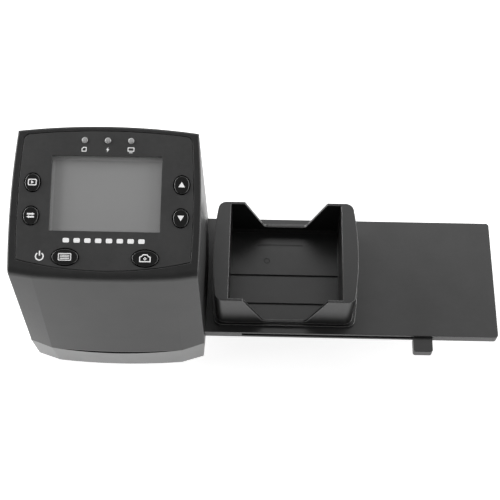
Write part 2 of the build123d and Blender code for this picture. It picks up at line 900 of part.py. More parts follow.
def make_lens_barrel():
    """The threaded barrel that is turned in the block to focus."""
    with BuildPart() as barrel:
        with BuildSketch(level(barrel_bottom())):
            Circle(barrel_radius)
        extrude(amount=barrel_length)
        with BuildSketch(level(barrel_bottom())):
            Circle(barrel_radius - barrel_wall)
        extrude(amount=glass_thickness, mode=Mode.SUBTRACT)
        with BuildSketch(level(barrel_bottom() + barrel_length)):
            Circle(barrel_radius - barrel_wall)
        extrude(amount=-glass_thickness, mode=Mode.SUBTRACT)
        with BuildSketch(level(barrel_bottom())):
            Circle(barrel_radius - barrel_wall - barrel_rim)
        extrude(amount=barrel_length, mode=Mode.SUBTRACT)
    save(barrel.part, "lens_barrel")


def make_lens_elements():
    """Two domed glass elements, one at each end of the barrel."""
    radius = barrel_radius - barrel_wall - fit
    edge = glass_thickness - glass_dome
    sphere = (radius**2 + glass_dome**2) / (2 * glass_dome)
    half_angle = asin(radius / sphere) / 2
    middle = (sphere * sin(half_angle), glass_thickness - sphere * (1 - cos(half_angle)))
    with BuildPart() as elements:
        for foot, flip in (
            (barrel_bottom() + glass_thickness, -1),
            (barrel_bottom() + barrel_length - glass_thickness, 1),
        ):
            with BuildSketch(Plane(origin=(scanner_x, 0, foot), x_dir=(1, 0, 0), z_dir=(0, -1, 0))):
                with BuildLine():
                    Line((0, 0), (radius, 0))
                    Line((radius, 0), (radius, flip * edge))
                    ThreePointArc(
                        (radius, flip * edge), (middle[0], flip * middle[1]), (0, flip * glass_thickness)
                    )
                    Line((0, flip * glass_thickness), (0, 0))
                make_face()
            revolve(axis=Axis((scanner_x, 0, 0), (0, 0, 1)))
    save(elements.part, "lens_elements")


def make_image_sensor():
    with BuildPart() as sensor:
        with BuildSketch(level(sensor_board_bottom)):
            Rectangle(sensor_size, sensor_size)
        extrude(amount=-sensor_height)
    save(sensor.part, "image_sensor")


def make_sensor_board():
    with BuildPart() as board:
        with BuildSketch(level(sensor_board_bottom)):
            Rectangle(sensor_board_size, sensor_board_size)
            with Locations(*sensor_screw_places()):
                Circle(sensor_screw_radius + seat, mode=Mode.SUBTRACT)
        extrude(amount=sensor_board_thickness)
    save(board.part, "sensor_board")


def make_sensor_screws():
    top = sensor_board_bottom + sensor_board_thickness
    down = Plane(origin=(scanner_x, 0, top), x_dir=(1, 0, 0), z_dir=(0, 0, -1))
    places = [(x, -y) for x, y in sensor_screw_places()]
    length = sensor_board_thickness + sensor_screw_bite - fit
    screws = pan_screws(
        down, places, sensor_screw_radius, sensor_screw_head, sensor_screw_head_height, length
    )
    save(screws, "sensor_screws")


# ---------------------------------------------------------------- connectors and their board
def port_post_places():
    left = -port_board_left + port_post_inset_x
    right = port_board_right - port_post_inset_x
    near = port_board_near + port_post_inset_y
    far = port_board_far - port_post_inset_y
    return [(left, far), (right, far), (left, near)]


def make_port_board():
    with BuildPart() as board:
        with BuildSketch(level(port_board_height)):
            middle_x = (port_board_right - port_board_left) / 2
            middle_y = (port_board_near + port_board_far) / 2
            with Locations((middle_x, middle_y)):
                Rectangle(port_board_left + port_board_right, port_board_far - port_board_near)
            with Locations(*port_post_places()):
                Circle(port_screw_radius + seat, mode=Mode.SUBTRACT)
        extrude(amount=port_board_thickness)
    save(board.part, "port_board")


def make_port_screws():
    down = Plane(origin=(scanner_x, 0, port_top()), x_dir=(1, 0, 0), z_dir=(0, 0, -1))
    places = [(x, -y) for x, y in port_post_places()]
    length = port_board_thickness + port_screw_bite
    screws = pan_screws(down, places, port_screw_radius, port_screw_head, port_screw_head_height, length)
    save(screws, "port_screws")


def socket(x, width, height, depth, shell):
    """A shell open to the back, standing on the connector board, its mouth past the board's far edge."""
    middle_y = port_board_far + socket_overhang - depth / 2
    with BuildPart() as body:
        with BuildSketch(level(port_top())):
            with Locations((x, middle_y)):
                Rectangle(width, depth)
        extrude(amount=height)
        with BuildSketch(level(port_top() + shell)):
            with Locations((x, middle_y + shell)):
                Rectangle(width - 2 * shell, depth)
        extrude(amount=height - 2 * shell, mode=Mode.SUBTRACT)
    return body.part


def make_sockets():
    save(socket(usb_x, usb_width, usb_height, usb_depth, usb_shell), "usb_socket")
    save(socket(card_x, card_width, card_height, card_depth, card_shell), "card_socket")


# ---------------------------------------------------------------- cables inside the body
def ribbon(points, width, x, name):
    """A flat cable along a path in the upright plane at x."""
    upright = Plane(origin=(scanner_x + x, 0, 0), x_dir=(0, 1, 0), z_dir=(1, 0, 0))
    with BuildPart() as cable:
        with BuildSketch(upright):
            with BuildLine():
                Polyline(*points)
            trace(line_width=ribbon_thickness)
        extrude(amount=width / 2, both=True)
    save(cable.part, name)


def panel_point(along, depth):
    """Y and Z of a point on the slope, at a distance along it and a depth along its normal."""
    y = panel_y + along * slope_run - depth * slope_rise
    z = panel_z + along * slope_rise + depth * slope_run
    return (y, z)


def make_cables():
    half = ribbon_thickness / 2
    board_rear_y = sensor_board_size / 2
    sensor_top = sensor_board_bottom + sensor_board_thickness + half
    landing = board_under - half
    sensor_path = [
        (board_rear_y - 2 * ribbon_bend, sensor_top),
        (board_rear_y + ribbon_bend, sensor_top),
        panel_point(board_boss_rear - ribbon_bend, landing - ribbon_bend),
        panel_point(board_boss_rear - ribbon_bend, landing - half),
        panel_point(board_boss_rear - ribbon_landing, landing),
    ]
    ribbon(sensor_path, ribbon_width, 0, "sensor_ribbon")
    port_path = [
        (port_board_near + ribbon_bend, port_top() + half),
        (port_board_near - ribbon_bend, port_top() + half),
        (port_board_near - ribbon_bend, sensor_board_bottom),
        panel_point(ribbon_bend, landing - 2 * ribbon_bend),
        panel_point(ribbon_bend, landing),
        panel_point(-2 * ribbon_bend, landing),
    ]
    ribbon(port_path, ribbon_width, port_board_right - ribbon_width / 2 - ribbon_bend, "port_ribbon")
    lamp_side = light_box_bottom + light_box_floor + light_board_thickness + half
    lane = gate_side + gate_rail + lead_lane
    under_port = port_board_height - half
    lead_path = [
        (light_box_y / 2 - light_box_wall - ribbon_bend, lamp_side),
        (lane - ribbon_bend, lamp_side),
        (lane, lamp_side + ribbon_bend),
        (lane, under_port - lane + port_board_far - ribbon_bend),
        (port_board_far - ribbon_bend, under_port),
        (port_board_far - ribbon_landing, under_port),
    ]
    ribbon(lead_path, lead_width, lead_x, "backlight_lead")


# ---------------------------------------------------------------- slide feeder
def feeder_screw_places():
    middle = (channel_half + feeder_half) / 2
    left = feeder_left - scanner_x + 2 * feeder_boss_radius
    centre = waist_half_width + 2 * feeder_boss_radius
    right = feeder_length_right - end_wall - 2 * feeder_boss_radius
    return [(x, y) for x in (left, centre, right) for y in (-middle, middle)]


def handle_slot():
    """Left and right ends of the handle's slot, from the lens axis."""
    right = handle_x + handle_width / 2 + gap
    left = handle_x - handle_width / 2 - gap - pusher_travel
    return left, right


def make_feeder_channel():
    """The lower half: floor, side rails and an end wall, open to the left, slotted for the handle."""
    middle = (feeder_left + feeder_right) / 2 - scanner_x
    length = feeder_right - feeder_left
    with BuildPart() as channel:
        with BuildSketch(level(floor_bottom, x=middle)):
            Rectangle(length, feeder_width)
        extrude(amount=deck_bottom - floor_bottom)
        fillet(channel.edges().filter_by(Axis.Z).group_by(Axis.X)[-1], feeder_corner)
        with BuildSketch(level(floor_top, x=middle - end_wall)):
            Rectangle(length, 2 * channel_half)
        extrude(amount=channel_gap, mode=Mode.SUBTRACT)
        with BuildSketch(level(floor_bottom)):
            Rectangle(film_window_x, film_window_y)
        extrude(amount=floor_thickness, mode=Mode.SUBTRACT)
        slot_left, slot_right = handle_slot()
        with BuildSketch(level(floor_top, x=(slot_left + slot_right) / 2, y=-feeder_half)):
            Rectangle(slot_right - slot_left, feeder_width)
        extrude(amount=channel_gap, mode=Mode.SUBTRACT)
        for y in (rail_groove_rear, rail_groove_front):
            with BuildSketch(level(floor_top, x=(film_window_x / 2 + feeder_length_right) / 2, y=y)):
                Rectangle(feeder_length_right - film_window_x / 2 - 2 * end_wall, rail_groove_width)
            extrude(amount=-rail_groove_depth, mode=Mode.SUBTRACT)
        with BuildSketch(level(floor_bottom)):
            with Locations(*feeder_screw_places()):
                Circle(feeder_screw_head + fit)
        extrude(amount=feeder_screw_head_height, mode=Mode.SUBTRACT)
        with BuildSketch(level(floor_bottom)):
            with Locations(*feeder_screw_places()):
                Circle(feeder_screw_radius + seat)
        extrude(amount=floor_thickness + channel_gap, mode=Mode.SUBTRACT)
        with BuildSketch(level(deck_bottom)):
            with Locations(*feeder_screw_places()):
                Circle(feeder_boss_radius + fit)
        extrude(amount=-(feeder_boss_height + fit), mode=Mode.SUBTRACT)
    save(channel.part, "feeder_channel")


def make_feeder_deck():
    """The upper half: the flat plate, cut out under the hopper and over the film window."""
    middle = (feeder_left + feeder_right) / 2 - scanner_x
    length = feeder_right - feeder_left
    with BuildPart() as deck:
        with BuildSketch(level(deck_bottom, x=middle)):
            Rectangle(length, feeder_width)
        extrude(amount=deck_thickness)
        fillet(deck.edges().filter_by(Axis.Z).group_by(Axis.X)[-1], feeder_corner)
        with BuildSketch(level(deck_bottom)):
            Rectangle(film_window_x, film_window_y)
            with Locations((hopper_x, 0)):
                Rectangle(hopper_inner_x, hopper_inner_y)
        extrude(amount=deck_thickness, mode=Mode.SUBTRACT)
        with BuildSketch(level(deck_bottom)):
            with Locations(*feeder_screw_places()):
                Circle(feeder_boss_radius)
        extrude(amount=-feeder_boss_height)
        with BuildSketch(level(deck_bottom - feeder_boss_height)):
            with Locations(*feeder_screw_places()):
                Circle(feeder_screw_radius + fit)
        extrude(amount=feeder_screw_bite, mode=Mode.SUBTRACT)
    save(deck.part, "feeder_deck")


def make_feeder_screws():
    head_top = floor_bottom + feeder_screw_head_height
    length = deck_bottom - feeder_boss_height + feeder_screw_bite - head_top - fit
    screws = pan_screws(
        level(head_top), feeder_screw_places(), feeder_screw_radius, feeder_screw_head,
        feeder_screw_head_height - fit, length,
    )
    save(screws, "feeder_screws")


def hopper_edges(grow):
    """The hopper's outline from above, let out by grow: straight front and rear, bowed ends."""
    side = hopper_outer_x / 2 + grow
    end = hopper_end_x / 2 + grow
    depth = hopper_inner_y / 2 + hopper_wall + grow
    Line((-end, -depth), (end, -depth))
    ThreePointArc((end, -depth), (side, 0), (end, depth))
    Line((end, depth), (-end, depth))
    ThreePointArc((-end, depth), (-side, 0), (-end, -depth))


def make_slide_hopper():
    """The magazine for a stack of slides: thick bowed ends, thin front and rear with finger notches."""
    with BuildPart() as hopper:
        with BuildSketch(level(feeder_top, x=hopper_x)):
            with BuildLine():
                hopper_edges(0)
            make_face()
            fillet(vertices(), hopper_corner)
        extrude(amount=hopper_height)
        with BuildSketch(level(feeder_top, x=hopper_x)):
            with BuildLine():
                hopper_edges(hopper_flange)
            make_face()
            fillet(vertices(), hopper_corner)
        extrude(amount=hopper_flange_height)
        # the thick ends are hollow from below
        with BuildSketch(level(feeder_top, x=hopper_x)):
            with BuildLine():
                hopper_edges(-hopper_wall)
            make_face()
            fillet(vertices(), hopper_corner)
            Rectangle(
                hopper_inner_x + 2 * hopper_wall, hopper_outer_x, mode=Mode.SUBTRACT
            )
        extrude(amount=hopper_height - hopper_wall, mode=Mode.SUBTRACT)
        with BuildSketch(level(feeder_top, x=hopper_x)):
            Rectangle(hopper_inner_x, hopper_inner_y)
        extrude(amount=hopper_height, mode=Mode.SUBTRACT)
        # finger notches through the front and rear walls
        upright = Plane(origin=(hopper_centre, 0, feeder_top), x_dir=(1, 0, 0), z_dir=(0, -1, 0))
        with BuildSketch(upright):
            with BuildLine():
                Polyline(
                    (-notch_bottom / 2, notch_sill),
                    (notch_bottom / 2, notch_sill),
                    (notch_top / 2, hopper_height),
                    (-notch_top / 2, hopper_height),
                    close=True,
                )
            make_face()
            fillet(vertices().group_by(Axis.Y)[0], notch_radius)
        extrude(amount=hopper_inner_y, both=True, mode=Mode.SUBTRACT)
    save(hopper.part, "slide_hopper")


def make_pusher():
    """The plate that pushes the lowest slide under the lens, with its handle out of the front."""
    middle = (pusher_left + pusher_right) / 2 - scanner_x
    half_depth = channel_half - gap
    tab_outer = feeder_half + handle_reach
    with BuildPart() as pusher:
        with BuildSketch(level(pusher_bottom, x=middle)):
            Rectangle(pusher_length, 2 * half_depth)
        extrude(amount=pusher_thickness)
        with BuildSketch(level(pusher_bottom, x=handle_x, y=-tab_outer / 2)):
            Rectangle(handle_width, tab_outer)
        extrude(amount=pusher_thickness)
        with BuildSketch(level(pusher_top, x=handle_x, y=-(feeder_half + gap + tab_outer) / 2)):
            Rectangle(handle_width, handle_reach - gap)
        extrude(amount=-handle_thickness)
        fillet(pusher.edges().filter_by(Axis.Z).group_by(Axis.Y)[0], handle_corner)
        for y in (rail_groove_rear, rail_groove_front):
            with BuildSketch(level(pusher_bottom, x=middle, y=y)):
                Rectangle(pusher_length - 2 * end_wall, rib_width)
            extrude(amount=-rib_height)
    save(pusher.part, "pusher")


def main():
    os.makedirs("parts", exist_ok=True)
    make_housing()
    make_base_cover()
    make_rubber_feet()
    make_base_screws()
    make_overlay_panel()
    make_screen_window()
    make_lcd_module()
    make_lcd_frame()
    make_main_board()
    make_board_screws()
    make_tact_switches()
    make_status_leds()
    make_light_guide()
    make_buttons()
    make_light_box()
    make_backlight_board()
    make_backlight_leds()
    make_diffuser()
    make_film_gate_lower()
    make_film_gate_upper()
    make_gate_screws()
    make_lens_holder()
    make_lens_barrel()
    make_lens_elements()
    make_image_sensor()
    make_sensor_board()
    make_sensor_screws()
    make_port_board()
    make_port_screws()
    make_sockets()
    make_cables()
    make_feeder_channel()
    make_feeder_deck()
    make_feeder_screws()
    make_slide_hopper()
    make_pusher()


main()
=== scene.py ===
"""Looks of a desktop film and slide scanner with its slide feeder plugged into the right side.

Metres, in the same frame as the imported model: +X right, +Y back, +Z up, the table at Z = 0.
"""

import math

import bpy
import numpy as np
from mathutils import Matrix, Vector


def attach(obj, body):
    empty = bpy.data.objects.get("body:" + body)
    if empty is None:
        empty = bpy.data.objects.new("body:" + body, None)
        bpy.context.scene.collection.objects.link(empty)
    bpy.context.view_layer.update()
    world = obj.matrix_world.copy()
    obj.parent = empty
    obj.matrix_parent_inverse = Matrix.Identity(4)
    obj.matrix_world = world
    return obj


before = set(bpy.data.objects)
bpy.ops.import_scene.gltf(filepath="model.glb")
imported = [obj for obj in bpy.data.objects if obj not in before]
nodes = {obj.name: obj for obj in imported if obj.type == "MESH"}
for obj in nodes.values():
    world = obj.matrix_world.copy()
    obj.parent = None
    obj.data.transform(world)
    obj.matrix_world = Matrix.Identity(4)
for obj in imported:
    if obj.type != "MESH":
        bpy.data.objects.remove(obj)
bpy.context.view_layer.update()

# ------------------------------------------------------------------ housing
# The deep upper shell of the scanner: ABS, injection moulded in a spark-eroded mould, so it has a fine
# even grain. Its edges are rounded by a few tenths of a millimetre, catch the light and carry a painted
# highlight; just above the open joint in front its wall is painted darker as shade.


class Signal:
    """A number, colour or vector on its way through a material's nodes; sums of it add Math nodes."""

    def __init__(self, finish, socket):
        self.finish = finish
        self.socket = socket

    def math(self, operation, first, second=None):
        values = {0: first} if second is None else {0: first, 1: second}
        return self.finish.node("Math", {"operation": operation}, values)

    def __add__(self, other):
        return self.math("ADD", self, other)

    def __sub__(self, other):
        return self.math("SUBTRACT", self, other)

    def __rsub__(self, other):
        return self.math("SUBTRACT", other, self)

    def __mul__(self, other):
        return self.math("MULTIPLY", self, other)

    def __truediv__(self, other):
        return self.math("DIVIDE", self, other)

    def __abs__(self):
        return self.math("ABSOLUTE", self)

    __radd__ = __add__

    def most(self, other):
        return self.math("MAXIMUM", self, other)

    def part(self):
        """What is left after the whole numbers are taken away: a saw from 0 to 1."""
        return self.math("FRACT", self)

    def rise(self, low, high):
        """0 below low, 1 above high, an S between them."""
        span = {"Value": self, "From Min": low, "From Max": high}
        return self.finish.node("MapRange", {"interpolation_type": "SMOOTHSTEP"}, span)


class Finish:
    """A material being built. Its nodes end in one Principled shader."""

    def __init__(self, name):
        self.material = bpy.data.materials.new(name)
        self.material.use_nodes = True
        self.tree = self.material.node_tree
        self.tree.nodes.clear()
        self.place = self.node("TexCoord", output="Object")

    def node(self, kind, settings=None, values=None, output=0):
        """Adds a node: its settings first, then a number, colour or link on each named input."""
        made = self.tree.nodes.new("ShaderNode" + kind)
        for key, value in (settings or {}).items():
            if key == "stops":
                for stop, (at, colour) in zip(made.color_ramp.elements, value):
                    stop.position, stop.color = at, colour
            else:
                setattr(made, key, value)
        for key, value in (values or {}).items():
            if isinstance(value, Signal):
                self.tree.links.new(value.socket, made.inputs[key])
            else:
                made.inputs[key].default_value = value
        return Signal(self, made.outputs[output])

    def dot(self, first, second):
        """The dot product of two vectors."""
        return self.node("VectorMath", {"operation": "DOT_PRODUCT"}, {0: first, 1: second}, "Value")

    def facing(self):
        """The face's true normal, before it is rounded or raised."""
        return self.node("NewGeometry", output="Normal")

    def along(self, direction, origin=(0, 0, 0)):
        """Distance from origin along a direction, in metres."""
        reach = sum(d * o for d, o in zip(direction, origin))
        return self.dot(self.place, tuple(direction)) - reach

    def clouds(self, size, detail=2.0, stretch=(1, 1, 1)):
        """Noise from 0 to 1 whose lumps are about size metres across, drawn out by stretch."""
        scaled = self.node(
            "VectorMath", {"operation": "MULTIPLY"},
            {0: self.place, 1: tuple(1 / (size * s) for s in stretch)}, "Vector",
        )
        return self.node("TexNoise", {}, {"Vector": scaled, "Scale": 1.0, "Detail": detail}, 0)

    def mix(self, first, second, share):
        """One colour turning into another as share goes from 0 to 1."""
        return self.node("Mix", {"data_type": "RGBA"}, {0: share, 6: first, 7: second}, 2)

    def rounded(self, radius):
        """The normal, rounded over every edge within radius."""
        return self.node("Bevel", {"samples": 4}, {"Radius": radius})

    def edges(self, rounded, low=0.01, high=0.25):
        """1 on the rounded edges, 0 on the flats: one minus the cosine between rounded and true normal."""
        return (1 - self.dot(rounded, self.facing())).rise(low, high)

    def bump(self, height, distance, normal=None, strength=1.0):
        """A normal raised by height, a signal from 0 to 1, times distance in metres."""
        values = {"Strength": strength, "Distance": distance, "Height": height}
        if normal is not None:
            values["Normal"] = normal
        return self.node("Bump", {}, values)

    def shade(self, **values):
        """The Principled shader with its values, wired to the material's output."""
        shader = self.node("BsdfPrincipled", {}, {k.replace("_", " "): v for k, v in values.items()})
        out = self.tree.nodes.new("ShaderNodeOutputMaterial")
        self.tree.links.new(shader.socket, out.inputs["Surface"])
        return self.material


def grey(level):
    return (level, level, level, 1.0)


def wear(node, material):
    """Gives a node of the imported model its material."""
    slots = nodes[node].data.materials
    slots.clear()
    slots.append(material)


mould_grain = 0.00022
grain_depth = 0.00001
broad_cloud = 0.014
fine_cloud = 0.0018
dent_depth = 0.00012


def mould_noise(f, grain=mould_grain):
    """Fine clouds, grain, and a cast: seven parts of broad clouds to three of fine ones, made sharper."""
    broad = f.clouds(broad_cloud, 3.0)
    fine = f.clouds(fine_cloud, 2.0)
    grains = f.clouds(grain, 1.0)
    return fine, grains, (broad * 0.7 + fine * 0.3).rise(0.25, 0.75)


def moulded(
    name, level, roughness, grain=mould_grain, depth=grain_depth, edge=0.0004, specular=0.5, tone=0.12,
    pale=0.0, marks_and_painted_shade=None,
):
    """Moulded plastic: a grey level with clouds, a fine grain as bump, edges smoother and painted paler.

    Clouds: the cast of mould_noise, a share tone of the level. Grain: noise as wide as grain, as high as
    depth. Edges: where a normal rounded over edge metres turns from the true one; their colour is a painted
    highlight, paler by pale. Marks and painted shade: a function that says where a shallow dent looks
    darker, for real marks or for painted shade over an edge that rolls in.
    """
    f = Finish(name)
    fine, grains, cast = mould_noise(f, grain)
    soft = f.rounded(edge)
    painted_highlight_edges = f.edges(soft)
    body = f.mix(grey(level * (1 - tone)), grey(level * (1 + tone)), cast)
    # Painted highlight: the rounded edges are coloured paler than the flats.
    body = f.mix(body, grey(level * 1.25 + 0.005 + pale), painted_highlight_edges)
    gloss = roughness + (fine - 0.5) * 0.10 + (grains - 0.5) * 0.05 - painted_highlight_edges * 0.08
    surface = f.bump(grains, depth, soft)
    if marks_and_painted_shade:
        # Dark marks: real marks on the channel floor, painted shade above the housing's open joint.
        dent_and_painted_shade = marks_and_painted_shade(f)
        body = f.mix(body, grey(level * 0.2), dent_and_painted_shade * 0.8)
        surface = f.bump(1 - dent_and_painted_shade, dent_depth, surface)
    return f.shade(Base_Color=body, Roughness=gloss, Specular_IOR_Level=specular, Normal=surface)


rightward, backward, upward = (1, 0, 0), (0, 1, 0), (0, 0, 1)
body_middle = (-0.0703, 0, 0)
seam_height = 0.0187
joint_opening = 0.0013
joint_half_width = 0.030


def painted_joint_shade(f):
    """1 on the half millimetre of wall above the open joint, where the edge rolls in and shade is painted.

    The joint's upper edge is a parabola over the seam: its full opening in the middle of the front, nothing
    at half its width to each side.
    """
    reach = f.along(rightward, body_middle) / joint_half_width
    open_to = seam_height + (1 - reach * reach) * joint_opening
    near = 1 - (f.along(upward) - open_to).rise(0.0001, 0.0008)
    front = 1 - f.along(backward).rise(-0.0345, -0.0335)
    middle = 1 - abs(reach).rise(0.75, 1.0)
    return near * front * middle


# Painted shade on the wall just above the open joint.
wear("housing", moulded("housing_plastic", 0.036, 0.38, edge=0.0005, pale=0.03, marks_and_painted_shade=painted_joint_shade))

# ------------------------------------------------------------------ base cover, feet and base screws
# The shallow tray under the housing, moulded in a paler grey with the same grain and held by four screws
# from below. Four rubber discs are pressed into its pockets.


def base_shell():
    """The tray's pale moulding. Its top edge, seen only within the open joint in front, is painted nearly
    black as shade.
    """
    f = Finish("base_plastic")
    fine, grains, cast = mould_noise(f)
    soft = f.rounded(0.0003)
    # Painted shade: the top edge just under the seam is coloured nearly black.
    seam_painted_shade = f.along(upward).rise(seam_height - 0.00032, seam_height - 0.00012)
    body = f.mix(grey(0.27), grey(0.30), cast)
    body = f.mix(body, grey(0.006), seam_painted_shade)
    gloss = 0.46 + (fine - 0.5) * 0.10 + seam_painted_shade * 0.3
    surface = f.bump(grains, grain_depth, soft)
    return f.shade(Base_Color=body, Roughness=gloss, Specular_IOR_Level=0.45, Normal=surface)


wear("base_cover", base_shell())
wear("rubber_feet", moulded("foot_rubber", 0.018, 0.75, grain=0.0004, depth=0.00003, specular=0.3))


def steel(name, level, roughness):
    """Plated steel: drawn-out noise as fine brushing, cloudy plating, edges worn bright."""
    f = Finish(name)
    lines = f.clouds(0.00012, 1.0, stretch=(14, 1, 1))
    clouds = f.clouds(0.0012, 3.0)
    soft = f.rounded(0.00012)
    lighter_rim = f.edges(soft)
    body = f.mix(grey(level * 0.8), grey(level * 1.1), clouds)
    body = f.mix(body, grey(min(level * 1.4, 1.0)), lighter_rim)
    gloss = roughness + (lines - 0.5) * 0.2 + (clouds - 0.5) * 0.1
    return f.shade(Base_Color=body, Metallic=1.0, Roughness=gloss, Normal=f.bump(lines, 0.000003, soft))


screw_steel = steel("screw_steel", 0.5, 0.35)
for held in ("base", "main_board", "gate", "sensor", "port", "feeder"):
    wear(held + "_screws", screw_steel)

# ------------------------------------------------------------------ light source under the film
# A white box with six lamp chips on a small board and an opal sheet over it. The sheet is cast, the box
# moulded in a bright white that mixes the light.

wear("light_box", moulded("white_plastic", 0.82, 0.5, tone=0.03, depth=0.000004))


def opal_sheet():
    """Cast opal sheet: milky, smooth, with faint streaks from the casting."""
    f = Finish("opal_sheet")
    streaks = f.clouds(0.004, 2.0, stretch=(5, 1, 1))
    dust = f.clouds(0.0005, 4.0).rise(0.62, 0.75)
    body = f.mix((0.86, 0.87, 0.85, 1), (0.93, 0.93, 0.91, 1), streaks)
    soft = f.rounded(0.0002)
    return f.shade(Base_Color=f.mix(body, grey(0.7), dust * 0.3), Roughness=0.28 + dust * 0.2, Normal=soft)


wear("diffuser", opal_sheet())


def lamp_chip():
    """A lamp chip: a white frame round a yellow gel that fills its upward face, clear of the rim."""
    f = Finish("lamp_chip")
    soft = f.rounded(0.0005)
    rim = f.edges(soft, 0.0, 0.08)
    gel = f.dot(f.facing(), upward).rise(0.85, 0.93) * (1 - rim)
    swirl = f.clouds(0.0004, 2.0)
    yellow = f.mix((0.85, 0.62, 0.12, 1), (0.92, 0.74, 0.22, 1), swirl)
    return f.shade(Base_Color=f.mix(grey(0.85), yellow, gel), Roughness=0.45 - gel * 0.25, Normal=soft)


for chips in ("backlight_leds", "status_leds"):
    wear(chips, lamp_chip())


def circuit_board(name, across=backward):
    """Circuit board: green mask over copper tracks, tinned pads, pale glass-fibre edges.

    Tracks are the mortar lines of a brick pattern in the board's own plane, broken by noise; pads are the
    middles of cells a few millimetres apart.
    """
    f = Finish(name)
    plane = f.node("CombineXYZ", {}, {0: f.along(rightward), 1: f.along(across), 2: 0.0})
    tracks = f.node(
        "TexBrick", {"offset": 0.37, "squash": 1.6, "squash_frequency": 3},
        {"Vector": plane, "Scale": 1.0, "Mortar Size": 0.00016, "Mortar Smooth": 0.3,
         "Brick Width": 0.0062, "Row Height": 0.0011}, "Fac",
    )
    broken = f.clouds(0.006, 1.0).rise(0.42, 0.5)
    cells = f.node("TexVoronoi", {"feature": "F1"}, {"Vector": plane, "Scale": 240.0}, "Distance")
    pads = 1 - cells.rise(0.16, 0.2)
    green, over_copper, tin = (0.012, 0.085, 0.035, 1), (0.0264, 0.1445, 0.063, 1), (0.55, 0.54, 0.50, 1)
    body = f.mix(f.mix(green, over_copper, tracks * broken), tin, pads)
    soft = f.rounded(0.00015)
    glass_fibre = (0.36, 0.36, 0.2, 1)
    body = f.mix(body, glass_fibre, f.edges(soft))
    raised = tracks * broken * 0.5 + pads
    return f.shade(
        Base_Color=body, Metallic=pads * 0.9, Roughness=0.34 + f.clouds(0.003) * 0.12,
        Normal=f.bump(raised, 0.00003, soft),
    )


level_board = circuit_board("level_board")
for board in ("backlight_board", "sensor_board", "port_board"):
    wear(board, level_board)


def flat_cable(name, pitch, film, core):
    """Flat cable: conductors a pitch apart from left to right, seen through a clear film."""
    f = Finish(name)
    lane = abs((f.along(rightward) / pitch).part() - 0.5) * 2
    wire = lane.rise(0.35, 0.55)
    crease = f.clouds(0.002, 3.0, stretch=(4, 1, 1))
    body = f.mix(film, core, wire * (0.75 + crease * 0.25))
    return f.shade(
        Base_Color=body, Roughness=0.3 + crease * 0.15, Metallic=wire * 0.3, Normal=f.bump(wire, 0.00003)
    )


amber_cable = flat_cable("amber_cable", 0.0008, (0.42, 0.20, 0.05, 1), (0.66, 0.40, 0.12, 1))
for cable in ("sensor_ribbon", "port_ribbon"):
    wear(cable, amber_cable)
wear("backlight_lead", flat_cable("lamp_lead", 0.0015, grey(0.55), (0.5, 0.04, 0.03, 1)))

# ------------------------------------------------------------------ film gate, lens and sensor
# Two matt black mouldings hold the film flat under the lens hood. The lens is a turned, black anodised
# barrel with two coated glasses, screwed into the hood's block over the sensor.

gate_black = moulded("gate_black", 0.022, 0.7, specular=0.3)
for piece in ("film_gate_lower", "film_gate_upper", "lens_holder", "lcd_frame"):
    wear(piece, gate_black)


ring_pitch = 0.00035


def anodised():
    """Turned and anodised aluminium: fine rings round the lens axis under a black layer."""
    f = Finish("anodised_black")
    rings = abs((f.along(upward) / ring_pitch).part() - 0.5) * 2
    clouds = f.clouds(0.001, 2.0)
    body = f.mix(grey(0.02), grey(0.05), rings * 0.6 + clouds * 0.4)
    return f.shade(
        Base_Color=body, Metallic=0.8, Roughness=0.32 + clouds * 0.1,
        Normal=f.bump(rings, 0.00002, f.rounded(0.0001)),
    )


wear("lens_barrel", anodised())


def coated_glass():
    """Lens glass with a purple and green coating that shows at its rim, a little dust on it."""
    f = Finish("lens_glass")
    turn = f.node("LayerWeight", {}, {"Blend": 0.35}, "Facing")
    coat = f.mix((0.80, 0.86, 0.95, 1), (0.55, 0.75, 0.62, 1), turn)
    dust = f.clouds(0.0003, 3.0).rise(0.66, 0.76)
    return f.shade(
        Base_Color=coat, Roughness=0.02 + dust * 0.2, Transmission_Weight=1.0, IOR=1.6, Coat_Weight=0.3
    )


wear("lens_elements", coated_glass())


field_reach = 0.0036
row_pitch = 0.0002


def sensor_face():
    """The image sensor: a dark field of fine rows under a cover glass, a pale ceramic frame round it."""
    f = Finish("sensor_face")
    x = f.along(rightward, body_middle)
    y = f.along(backward)
    ceramic = abs(x).most(abs(y)).rise(field_reach, field_reach + 0.0001)
    rows = abs((y / row_pitch).part() - 0.5)
    field = f.mix((0.01, 0.02, 0.03, 1), (0.05, 0.02, 0.06, 1), f.clouds(0.004) + rows * 0.2)
    body = f.mix(field, (0.42, 0.40, 0.36, 1), ceramic)
    return f.shade(Base_Color=body, Roughness=0.08 + ceramic * 0.4, Normal=f.rounded(0.0001))


wear("image_sensor", sensor_face())

# ------------------------------------------------------------------ connectors
# Two pressed and tinned steel shells soldered to the connector board, one for a small cable plug and one
# for a memory card, open towards the back.

socket_plate = steel("socket_plate", 0.62, 0.28)
for piece in ("usb_socket", "card_socket"):
    wear(piece, socket_plate)

# ------------------------------------------------------------------ main board and its switches
# The green board under the sloping panel, screwed to four bosses. Six small switches with steel covers
# and black plungers stand on it, one under each button, and three lamp chips under the light guide.

slope = math.radians(18)
slope_up = np.array((0.0, math.cos(slope), math.sin(slope)))
slope_out = np.array((0.0, -math.sin(slope), math.cos(slope)))
screen_middle = np.array((body_middle[0], 0.0042, 0.0948))
wear("main_board", circuit_board("main_board_green", across=tuple(slope_up)))


def switch_cover():
    """A small switch: its steel cover, and a black plunger that stands above the cover's level."""
    f = Finish("switch_cover")
    plunger = f.along(tuple(slope_out), tuple(screen_middle)).rise(-0.00556, -0.00554)
    lines = f.clouds(0.0002, 2.0, stretch=(8, 1, 1))
    soft = f.rounded(0.0001)
    body = f.mix(f.mix(grey(0.42), grey(0.6), lines), grey(0.02), plunger)
    return f.shade(Base_Color=body, Metallic=1 - plunger, Roughness=0.32 + lines * 0.15, Normal=soft)


wear("tact_switches", switch_cover())


